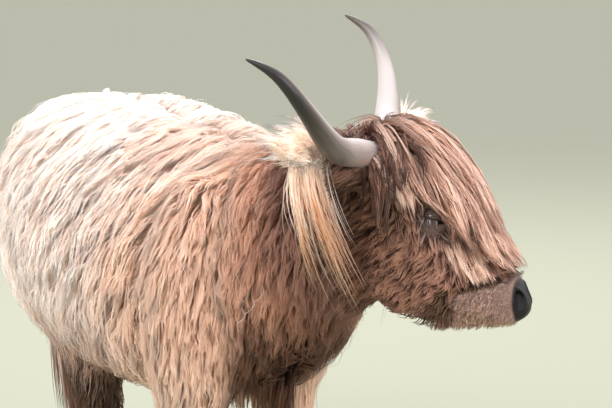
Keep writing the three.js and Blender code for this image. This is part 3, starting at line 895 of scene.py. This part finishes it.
def pieces_of(name, tufts, width, look, replaces=(), thick=0.45, even=0.62):
    """The tufts as joined meshes, sorted along the body into pieces of a workable size.

    Their normals are drawn an even share towards the way out of the hide, so that the coat
    takes the light as one soft body."""
    steps = tufts["path"].shape[1] - 1
    per_tuft = 6 * (steps - 1) + 4
    ranked = np.argsort(tufts["root"][:, 0], kind="stable")
    parts = math.ceil(len(ranked) * per_tuft / PIECE_TRIANGLES)
    for number, chosen in enumerate(np.array_split(ranked, parts)):
        path, out = tufts["path"][chosen], tufts["out"][chosen]
        count = len(chosen)
        run = np.empty_like(path)
        run[:, :-1] = path[:, 1:] - path[:, :-1]
        run[:, -1] = run[:, -2]
        run[:, 1:-1] = path[:, 2:] - path[:, :-2]
        run /= np.maximum(np.linalg.norm(run, axis=2, keepdims=True), 1e-9)
        across = np.cross(run, out[:, None, :])
        across /= np.maximum(np.linalg.norm(across, axis=2, keepdims=True), 1e-6)
        top = np.cross(across, run)
        along = np.arange(steps + 1) / steps
        taper = np.interp(along, (0, 0.2, 0.6, 0.85, 1), (0.75, 1.0, 0.85, 0.5, 0.0))
        size = width * rng.uniform(0.65, 1.35, count)
        half = (size[:, None] * taper[None, :] / 2)[:, :, None]
        low = path - top * half * thick * 0.66
        rings = np.stack([low - across * half, low + across * half, path + top * half * thick * 1.33], 2)
        body = rings[:, :steps].reshape(count, steps * 3, 3)
        points = np.concatenate([body, path[:, -1:]], 1).reshape(-1, 3)
        faces = [(0, 1, 2)]
        for k in range(steps - 1):
            for m, n in ((0, 1), (1, 2), (2, 0)):
                a, b, c, d = 3 * k + n, 3 * k + m, 3 * k + 3 + m, 3 * k + 3 + n
                faces += [(a, b, c), (a, c, d)]
        last, tip = 3 * (steps - 1), 3 * steps
        faces += [(last + n, last + m, tip) for m, n in ((0, 1), (1, 2), (2, 0))]
        each = 3 * steps + 1
        triangles = (np.array(faces)[None] + (np.arange(count) * each)[:, None, None]).reshape(-1, 3)
        data = bpy.data.meshes.new(name)
        data.vertices.add(len(points))
        data.vertices.foreach_set("co", points.ravel())
        data.loops.add(triangles.size)
        data.loops.foreach_set("vertex_index", triangles.ravel().astype(np.int32))
        data.polygons.add(len(triangles))
        data.polygons.foreach_set("loop_start", np.arange(0, triangles.size, 3, dtype=np.int32))
        data.polygons.foreach_set("use_smooth", np.ones(len(triangles), bool))
        place_run = np.append(np.repeat(along[:steps], 3), 1.0)
        place_side = np.append(np.tile((-0.5, 0.5, 0.0), steps), 0.0)
        uv = tufts["uv"][chosen][:, None, :] + np.stack([place_side, place_run - 0.5], 1)[None] * PATCH
        layer = data.uv_layers.new(name="OFBake")
        layer.data.foreach_set("uv", uv.reshape(-1, 2)[triangles.ravel()].ravel())
        root = np.repeat(tufts["root"][chosen], each, axis=0)
        strand = np.concatenate(
            [np.tile(place_run, count)[:, None], np.repeat(tufts["tone"][chosen], each, axis=0)], 1
        )
        for label, values in (("root_place", root), ("strand", strand)):
            attribute = data.attributes.new(label, "FLOAT_VECTOR", "POINT")
            attribute.data.foreach_set("vector", values.ravel())
        data.update()
        data.validate()
        low_way = np.stack([-across * 0.87 - top * 0.5, across * 0.87 - top * 0.5, top], 2)
        bare_way = np.concatenate([low_way[:, :steps].reshape(count, steps * 3, 3), top[:, -1:]], 1)
        bare_way = out[:, None] * even + bare_way * (1 - even)
        data.normals_split_custom_set_from_vertices(unit(bare_way.reshape(-1, 3)))
        piece = bpy.data.objects.new(f"{name}_{number + 1}" if parts > 1 else name, data)
        bpy.context.scene.collection.objects.link(piece)
        data.materials.append(look)
        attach(piece, "root")
        if replaces:
            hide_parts(*replaces)
        print(piece.name, len(triangles), "triangles")


def hair_look(name, light="#ffffff", strength=0.0, dark_root=0.0, golden_from=0.5, golden_to=0.95):
    """Hair that takes its colours from the markings at its root, paler and warmer to the tip."""
    look, w, shader = painted(name)
    root = w.node("ShaderNodeAttribute", attribute_name="root_place").outputs["Vector"]
    strand = w.node("ShaderNodeAttribute", attribute_name="strand").outputs["Vector"]
    parts = w.node("ShaderNodeSeparateXYZ", {0: strand})
    run, tone, lock_tone = (parts.outputs[n] for n in range(3))
    colours = w.node("ShaderNodeGroup", {"Place": root}, node_tree=markings)
    share = w.math("ADD", run, w.math("MULTIPLY", w.math("SUBTRACT", tone, 0.5), 0.35))
    share = w.math("ADD", share, w.math("MULTIPLY", w.math("SUBTRACT", lock_tone, 0.5), 0.5))
    hair = w.mix(w.smooth(share, -0.05, 0.75), colours.outputs["Root"], colours.outputs["Tip"])
    if strength:
        golden = w.math("MULTIPLY", w.smooth(lock_tone, golden_from, golden_to), w.smooth(run, 0.05, 0.7))
        hair = w.mix(w.math("MULTIPLY", golden, strength), hair, linear(light))
    value = w.node("ShaderNodeMapRange", {"Value": tone, "To Min": 0.86, "To Max": 1.10}).outputs[0]
    value = w.math("MULTIPLY", value, w.node("ShaderNodeMapRange", {
        "Value": run, "From Max": 0.35, "To Min": 1.0 - dark_root, "To Max": 1.0}).outputs[0])
    hair = w.node("ShaderNodeHueSaturation", {"Color": hair, "Value": value}).outputs[0]
    w.tree.links.new(hair, shader.inputs["Base Color"])
    shader.inputs["Roughness"].default_value = 0.65
    shader.inputs["Specular IOR Level"].default_value = 0.22
    shader.subsurface_method = "BURLEY"
    shader.inputs["Subsurface Weight"].default_value = 0.75
    shader.inputs["Subsurface Radius"].default_value = (1.0, 0.75, 0.6)
    shader.inputs["Subsurface Scale"].default_value = 0.035
    return look


def eased(way, out, free):
    """A way along the hide, with a free share of hanging straight down."""
    flat = way - out * dots(way, out)[:, None]
    return unit(unit(flat) * (1 - free) + GRAVITY * free)


def downhill(out, side):
    """The steepest way down the hide; flat places fall to their own side of the spine."""
    way = GRAVITY - out * (out @ GRAVITY)[:, None]
    return unit(way + np.array((0.0, 1.0, 0.0)) * (side * 0.25 * smooth(0.8, 1.0, out[:, 2]))[:, None])


def body_lie(points, out):
    x, y, z = points.T
    back = 0.20 + 0.42 * smooth(0.42, 0.0, x) * smooth(0.45, 0.75, z)
    way = downhill(out, np.clip((y + 0.009) / 0.05, -1, 1)) * (out[:, 2:] > -0.8)
    return eased(way + np.stack([-back, 0 * x, 0 * x], 1), out, 0.22)


def body_length(points):
    x, y, z = points.T
    long_hair = 0.165 - 0.085 * smooth(0.20, 0.44, x)
    return long_hair * (1 - 0.55 * smooth(0.46, 0.30, z))


upper_legs = [n for n in FLESH if n.endswith(("_shoulder", "_thigh"))]
cannons = [n for n in FLESH if n.endswith("_cannon")]
body_zone = zone_of("trunk", "neck", *upper_legs)
body_zone = body_zone * (1 + 0.5 * smooth(0.75, 0.95, skin_out[:, 2]))
front_share = smooth(0.24, 0.40, skin_points[:, 0])
long_look = hair_look("long_hair", dark_root=0.0)
body = locks(17800, 7, body_zone * (1 - front_share), body_length, body_lie, 5, (0.62, 1.0), clump=0.5, wave=(0.010, 0.15), loose=0.012)
pieces_of("coat_body", body, 0.0046, long_look, thick=0.3, even=0.85)
shoulder = locks(10200, 5, body_zone * front_share, body_length, body_lie, 4, (0.6, 1.0), clump=0.45, wave=(0.006, 0.09))
pieces_of("coat_shoulder", shoulder, 0.0042, long_look, thick=0.3, even=0.85)
# A dark fringe hangs from the brisket between the forelegs.
brisket_zone = body_zone * smooth(0.26, 0.36, skin_points[:, 0]) * smooth(0.60, 0.52, skin_points[:, 2])
brisket_zone = brisket_zone * smooth(0.12, 0.07, np.abs(skin_points[:, 1] - 0.005))
brisket = sprays(
    700, 8, brisket_zone, lambda p: rng.uniform(0.07, 0.15, len(p)), lambda p, o: GRAVITY + o * 0.25,
    lambda p, o: np.repeat((GRAVITY + np.array((-0.15, 0, 0)))[None], len(p), 0), 5, spread=0.12, clump=0.5,
)
pieces_of("brisket_fringe", brisket, 0.0036, long_look)
# A few long loose curls stand out of the rest.
curl_look = hair_look("curl_hair", "#f3d8c4", 0.7, golden_from=0.0, golden_to=0.3)
curl_zone = body_zone * smooth(0.58, 0.50, skin_points[:, 0]) * smooth(0.70, 0.80, skin_points[:, 2])
curls = locks(
    260, 2, curl_zone, lambda p: rng.uniform(0.12, 0.24, len(p)), body_lie, 8,
    (0.95, 1.0), clump=0.4, wave=(0.022, 0.09), proud=0.018,
)
pieces_of("coat_curls", curls, 0.0024, curl_look)
# Fine single hairs stand free of the coat and soften its outline.
stray = locks(
    1500, 1, body_zone, lambda p: rng.uniform(0.08, 0.15, len(p)), body_lie, 4,
    (0.9, 1.0), lift=1.0, clump=0.2, wave=(0.009, 0.08), proud=0.014, loose=0.010,
)
pieces_of("coat_stray_hair", stray, 0.0017, long_look)


# ---------------------------------------------------------------- Coat of the legs
# Dense dark hair, shorter down the cannon, that hangs over the coronet of each hoof.
def leg_lie(points, out):
    down = np.tile((-0.12, 0.0, -1.0), (len(points), 1))
    return eased(down, out, 0.1)


def leg_length(points):
    return 0.034 + 0.030 * smooth(0.12, 0.45, points[:, 2])


leg_look = hair_look("leg_hair", dark_root=0.2)
legs = locks(4200, 4, zone_of(*cannons), leg_length, leg_lie, 3, lift=0.5, wave=(0.002, 0.05))
pieces_of("coat_legs", legs, 0.0042, leg_look)
# Longer hair behind each fetlock falls over the dew claws.
feather_zone = zone_of(*cannons) * smooth(0.15, 0.11, skin_points[:, 2]) * smooth(0.06, 0.08, skin_points[:, 2])
feather_zone = feather_zone * smooth(-0.1, -0.5, skin_out[:, 0])
feather = sprays(
    480, 6, feather_zone, lambda p: rng.uniform(0.03, 0.055, len(p)), lambda p, o: GRAVITY + o * 0.55,
    lambda p, o: np.repeat((GRAVITY + np.array((0.1, 0, 0)))[None], len(p), 0), 3, spread=0.10, clump=0.4,
)
pieces_of("fetlock_feather", feather, 0.0038, leg_look)

# ---------------------------------------------------------------- Coat of the face
# Soft short hair, swept forward along the bridge of the nose and back over the cheek and
# jaw, and thin round the eyes.
HEAD_AHEAD, HEAD_SIDE, HEAD_UP = (axis(HEAD, n) for n in range(3))


def face_lie(points, out):
    local = seen_from(HEAD, points)
    bridge = smooth(-0.11, -0.03, local[:, 2])
    ahead = -0.75 + 1.6 * bridge
    way = HEAD_AHEAD * ahead[:, None] + GRAVITY * (1.0 - 0.4 * bridge)[:, None]
    return eased(way, out, 0.12)


def face_length(points):
    local = seen_from(HEAD, points)
    jaw = smooth(-0.12, -0.20, local[:, 2])
    nose = smooth(0.30, 0.42, local[:, 0])
    return (0.034 + 0.016 * jaw) * (1 - 0.55 * nose)


eye_gap = np.min([np.linalg.norm(skin_points - np.array(e), axis=1) for e in EYES.values()], axis=0)
off_lids = smooth(0.027, 0.044, eye_gap)
face_zone = zone_of("head", "lower_jaw") * off_lids
on_muzzle = smooth(0.405, 0.445, skin_local[:, 0] - 0.5 * skin_local[:, 2])
face_look = hair_look("face_hair", "#c29477", 0.24, 0.12, 0.3, 0.95)
face = locks(10500, 6, face_zone * (1 - 0.85 * on_muzzle), face_length, face_lie, 4, lift=0.45, clump=0.6, wave=(0.005, 0.042))
pieces_of("coat_face", face, 0.0028, face_look, thick=0.35, even=0.72)

# Pale bristles stand on the lips, and a row of long pale lashes hangs from each upper lid.
def bristle_lie(points, out):
    return eased(np.repeat((GRAVITY * 1.2 - HEAD_AHEAD * 0.5)[None], len(points), 0), out, 0.1)


lips = on_head[: len(skin_points)] * smooth(0.36, 0.40, skin_local[:, 0])
lips = lips * smooth(0.434, 0.422, skin_local[:, 0] + 1.16 * skin_local[:, 2])
lips = lips * smooth(0.416, 0.424, skin_local[:, 0] - 0.55 * skin_local[:, 2])
bristle_look = hair_look("bristle_hair", "#c9a892", 0.5)
bristles = locks(3900, 3, lips, lambda p: rng.uniform(0.006, 0.014, len(p)), bristle_lie, 2, lift=0.5, clump=0.3, wave=(0.0005, 0.03), proud=0.008)
pieces_of("lip_bristles", bristles, 0.0012, bristle_look)

LASH_LENGTH = 0.024
lash_look = hair_look("lash_hair", "#f1e6da", 1.0)
lash_count = 34
for side, s in SIDES.items():
    ahead_way, up_way, out_way = eye_ways(s)
    along = np.linspace(-0.018, 0.016, lash_count) + rng.uniform(-0.001, 0.001, lash_count)
    middle, opening = slit(along)
    high = middle + opening + 0.001
    far = np.sqrt((EYE_RADIUS + LID) ** 2 - along**2 - high**2) + 0.0005
    root = np.array(EYES[side]) + np.stack([along, high, far], 1) @ np.stack([ahead_way, up_way, out_way])
    share = np.linspace(0, 1, 4)[None, :, None]
    droop = out_way * 0.45 + GRAVITY * 1.0
    fan = (along[:, None, None] * 12 + rng.uniform(-0.2, 0.2, (lash_count, 1, 1))) * ahead_way
    reach = LASH_LENGTH * rng.uniform(0.5, 1.1, (lash_count, 1, 1))
    path = root[:, None] + reach * (share * (out_way * 0.7 + fan) + share**2 * (droop - out_way * 0.7))
    uv = corner_uv[nearest(skin_tree, root)[2]].mean(1)
    tone = rng.random((lash_count, 2))
    lashes = {"path": path, "out": np.repeat(up_way[None], lash_count, 0), "uv": uv, "root": root, "tone": tone}
    pieces_of(f"lashes_{side}", lashes, 0.0012, lash_look)

# ---------------------------------------------------------------- Forelock
# The long fringe that every cow of this breed wears: strands from the crown fan forward over
# the brow and eyes and down the bridge of the nose, brown with gold on top.
def forelock_lie(points, out):
    local = seen_from(HEAD, points)
    spread = HEAD_SIDE * (local[:, 1] * 2.2)[:, None]
    fall = smooth(0.05, 0.13, np.abs(local[:, 1]))
    onward = (1.0 - 0.55 * fall) * (smooth(-0.05, 0.01, local[:, 0]) * 1.6 - 0.6)
    way = HEAD_AHEAD * onward[:, None] + spread + GRAVITY * (0.25 + 0.9 * fall)[:, None]
    return eased(way, out, 0.15)


def forelock_length(points):
    local = seen_from(HEAD, points)
    return np.interp(local[:, 0], (-0.08, 0.05, 0.2, 0.34, 0.42), (0.27, 0.25, 0.18, 0.085, 0.05))


crown = smooth(0.42, 0.34, skin_local[:, 0]) * smooth(-0.11, -0.06, skin_local[:, 2] + 0.25 * skin_local[:, 0])
crown = crown * zone_of("head") * off_lids


def cut_to(tufts, allowed):
    """Tufts drawn back along their own paths to the last place where they are allowed."""
    path = tufts["path"]
    steps = path.shape[1] - 1
    fits = allowed(path.reshape(-1, 3)).reshape(path.shape[:2])
    fits[:, 0] = True
    last = np.where(fits.all(1), steps, (~fits).argmax(1)) * rng.uniform(0.85, 1.05, len(path))
    places = np.clip(last, 1.0, steps)[:, None] * np.arange(steps + 1) / steps
    low = np.floor(places).astype(int).clip(0, steps - 1)
    rest = (places - low)[:, :, None]
    row = np.arange(len(path))[:, None]
    return {**tufts, "path": path[row, low] * (1 - rest) + path[row, low + 1] * rest}


def off_cheek(points):
    """Above the eyes at the sides, and down to the nose's side in front of them."""
    local = seen_from(HEAD, points)
    lowest = np.interp(local[:, 0], (0.10, 0.20, 0.26, 0.34, 0.42), (-0.035, -0.005, -0.045, -0.062, -0.03))
    above_fold = local[:, 0] - 0.55 * local[:, 2] < 0.405
    return (local[:, 2] > lowest) & above_fold


def parted(tufts, centre, radius, kept_share):
    """Without most of the tufts that would pass over a place."""
    gap = np.linalg.norm(tufts["path"] - np.array(centre), axis=2).min(1)
    stays = (gap > radius) | (rng.random(len(gap)) < kept_share)
    return {key: values[stays] for key, values in tufts.items()}


forelock_look = hair_look("forelock_hair", "#e4c6b5", 0.66, 0.08, 0.2, 0.85)
forelock = locks(4100, 6, crown * off_cheek(skin_points), forelock_length, forelock_lie, 6, (0.2, 1.0), lift=1.1, wave=(0.005, 0.16), proud=0.008)
forelock = cut_to(forelock, off_cheek)
for eye_place in EYES.values():
    forelock = parted(forelock, eye_place, 0.045, 0.04)
pieces_of("coat_forelock", forelock, 0.0036, forelock_look, ("forelock",), even=0.45)

# Long dark strands fall from the crown past the inner end of each horn and down the temple.
temple_look = hair_look("temple_hair", "#2a1b15", 0.9, 0.3, 0.0, 0.5)
collar_look = hair_look("collar_hair", dark_root=0.3)
for side, s in SIDES.items():
    temple_place = np.array(HEAD @ Vector((0.030, 0.075 * s, -0.005)))
    temple_zone = smooth(0.060, 0.020, np.linalg.norm(skin_points - temple_place, axis=1))
    temple = locks(
        420, 6, temple_zone, lambda p: rng.uniform(0.08, 0.18, len(p)),
        lambda p, o: eased(np.repeat((GRAVITY - HEAD_AHEAD * 0.1)[None], len(p), 0), o, 0.35),
        5, (0.7, 1.0), lift=0.9, wave=(0.005, 0.12), proud=0.014,
    )
    temple = parted(temple, EYES[side], 0.050, 0.0)
    pieces_of(f"temple_hair_{side}", temple, 0.0034, temple_look)

# Shorter hair grows out round the base of each horn and hides where the sheath begins.
for side, s in SIDES.items():
    horn_base = np.array(turned(0) @ Vector((-0.019, 0.062 * s, -0.041)))
    horn_way = unit(np.array([turned(0).to_3x3() @ Vector((-0.25, s, 0.1))]))[0]
    collar_zone = smooth(0.085, 0.055, np.linalg.norm(skin_points - (horn_base + horn_way * 0.03), axis=1))
    collar = locks(
        550, 6, collar_zone, lambda p: rng.uniform(0.05, 0.095, len(p)),
        lambda p, o, way=horn_way: eased(np.repeat((way + GRAVITY * 0.35)[None], len(p), 0), o, 0.15),
        4, lift=0.8, wave=(0.003, 0.06), proud=0.008,
    )
    pieces_of(f"horn_collar_{side}", collar, 0.0030, collar_look)
    close = smooth(0.066, 0.048, np.linalg.norm(skin_points - horn_base, axis=1)) * on_head[: len(skin_points)]
    wisps = sprays(
        420, 5, close, lambda p: rng.uniform(0.035, 0.075, len(p)), lambda p, o, way=horn_way: o * 0.5 + way * 0.7,
        lambda p, o, way=horn_way: np.repeat((way * 0.5 + GRAVITY * 0.7)[None], len(p), 0), 3, spread=0.2, clump=0.4,
    )
    pieces_of(f"horn_wisps_{side}", wisps, 0.0026, collar_look)

# ---------------------------------------------------------------- Ears
# Each ear is furred all over, and a long cream fringe hangs from it past the jaw.

def ear_lie_for(side):
    low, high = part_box(f"ear_{side}")
    middle = np.array((low + high) / 2)
    outwards = unit((middle - axis(HEAD, 3))[None])

    def lie(points, out):
        tip_share = smooth(0.12, 0.03, np.linalg.norm(points - EAR_TIP[side], axis=1))[:, None]
        return eased(np.repeat(outwards, len(points), 0) + GRAVITY * (0.5 - 0.6 * tip_share), out, 0.0)

    return lie


def fringe_length(points):
    return rng.uniform(0.09, 0.28, len(points)) + 0.07 * (rng.random(len(points)) < 0.3)


EAR_SPRAY = 0.135  # how far the longest pale hairs stand off the ear's edge
SPRAY_WAY = np.array((-0.10, 0.0, 1.7))
ear_look = hair_look("ear_hair", "#cc9468", 0.85, 0.15, 0.2, 0.7)
ear_short_look = hair_look("ear_short_hair", "#5a4031", 0.3, 0.3, 0.3, 0.9)
pale_look = hair_look("ear_tip_hair", "#f7efe9", 0.5, 0.1, 0.2, 0.8)
for side in SIDES:
    ear_zone = zone_of(f"ear_{side}", rounds=1)
    tip_gap = np.linalg.norm(skin_points - EAR_TIP[side], axis=1)
    short = locks(900, 4, ear_zone, lambda p: rng.uniform(0.03, 0.05, len(p)), ear_lie_for(side), 3, lift=0.5)
    pieces_of(f"ear_coat_{side}", short, 0.0032, ear_short_look, even=0.4)
    away = unit((EAR_TIP[side] - axis(HEAD, 3))[None])[0]
    spray = sprays(
        750, 7, ear_zone * (0.02 + smooth(0.12, 0.04, tip_gap)), lambda p: rng.uniform(0.35, 1.0, len(p)) * EAR_SPRAY,
        lambda p, o: o * 0.5 + away * 0.8 + SPRAY_WAY,
        lambda p, o: unit(o * 0.4 + away * 0.9 + GRAVITY * 0.1), 4, spread=0.28, clump=0.35,
    )
    pieces_of(f"ear_spray_{side}", spray, 0.0028, pale_look, even=0.4)
    fringe = sprays(
        310, 8, ear_zone * (0.01 + smooth(0.12, 0.06, tip_gap)), fringe_length,
        lambda p, o: GRAVITY + away * 0.12 + o * 0.1,
        lambda p, o: np.repeat((GRAVITY - away * 0.68)[None], len(p), 0), 7, spread=0.12, clump=0.7,
    )
    pieces_of(f"ear_fringe_hair_{side}", fringe, 0.0027, ear_look, (f"ear_fringe_{side}",), even=0.35)

# ---------------------------------------------------------------- Tail
# A thin dock under short hair, and a long dark switch that hangs almost to the ground.
def tail_length(points):
    return np.interp(points[:, 2], (0.56, 0.66, 0.80, 1.0), (0.42, 0.40, 0.20, 0.10))


def tail_lie(points, out):
    return eased(np.repeat(GRAVITY[None], len(points), 0), out, 0.5)


dock = zone_of("tail_dock", rounds=1)
low_dock = dock * smooth(0.74, 0.60, skin_points[:, 2])
tail_look = hair_look("tail_hair", dark_root=0.2)
dock_hair = locks(1200, 4, dock, lambda p: tail_length(p).clip(0.06, 0.12), tail_lie, 4, lift=0.4)
pieces_of("tail_coat", dock_hair, 0.0042, tail_look)
switch = sprays(
    1600, 9, low_dock, tail_length, lambda p, o: o * 0.06 + GRAVITY + np.array((0.26, 0.03, 0)),
    lambda p, o: np.repeat((GRAVITY + np.array((0.3, 0.03, 0)))[None], len(p), 0), 6, spread=0.05, clump=0.6,
)
pieces_of("tail_switch_hair", switch, 0.0050, tail_look, ("tail_switch",), even=0.3)

# ---------------------------------------------------------------- Floor and light
# A plain pale floor that runs far behind, broad soft lamps and a pale sky.
FLOOR_HALF = 90.0
floor_mesh = bmesh.new()
bmesh.ops.create_grid(floor_mesh, x_segments=1, y_segments=1, size=FLOOR_HALF)
floor = finished(floor_mesh, "floor")
floor_look = bpy.data.materials.new("floor")
floor_look.use_nodes = True
floor_shader = floor_look.node_tree.nodes["Principled BSDF"]
floor_shader.inputs["Base Color"].default_value = linear("#a9ac9a")
floor_shader.inputs["Roughness"].default_value = 0.9
floor_shader.inputs["Specular IOR Level"].default_value = 0.1
floor.data.materials.append(floor_look)

LAMPS = {  # place, size, watts, warmth
    "key": ((2.2, -5.0, 5.5), 4.0, 250, (1.0, 0.99, 0.985)),
    "fill": ((6.5, 1.5, 3.0), 4.0, 140, (0.98, 0.98, 1.0)),
    "back": ((-4.0, 2.5, 5.5), 3.5, 260, (1.0, 0.985, 0.97)),
}
for name, (place, size, watts, tint) in LAMPS.items():
    lamp_data = bpy.data.lights.new(name, "AREA")
    lamp_data.shape = "DISK"
    lamp_data.size, lamp_data.energy, lamp_data.color = size, watts, tint
    lamp = bpy.data.objects.new(name, lamp_data)
    lamp.location = place
    lamp.rotation_euler = (Vector((0, 0, 0.8)) - Vector(place)).to_track_quat("-Z", "Y").to_euler()
    bpy.context.scene.collection.objects.link(lamp)
world = bpy.data.worlds.new("sky")
world.use_nodes = True
world.node_tree.nodes["Background"].inputs["Color"].default_value = linear("#fcf9fb")
world.node_tree.nodes["Background"].inputs["Strength"].default_value = 1.22
bpy.context.scene.world = world
bpy.context.scene.view_settings.view_transform = "Standard"
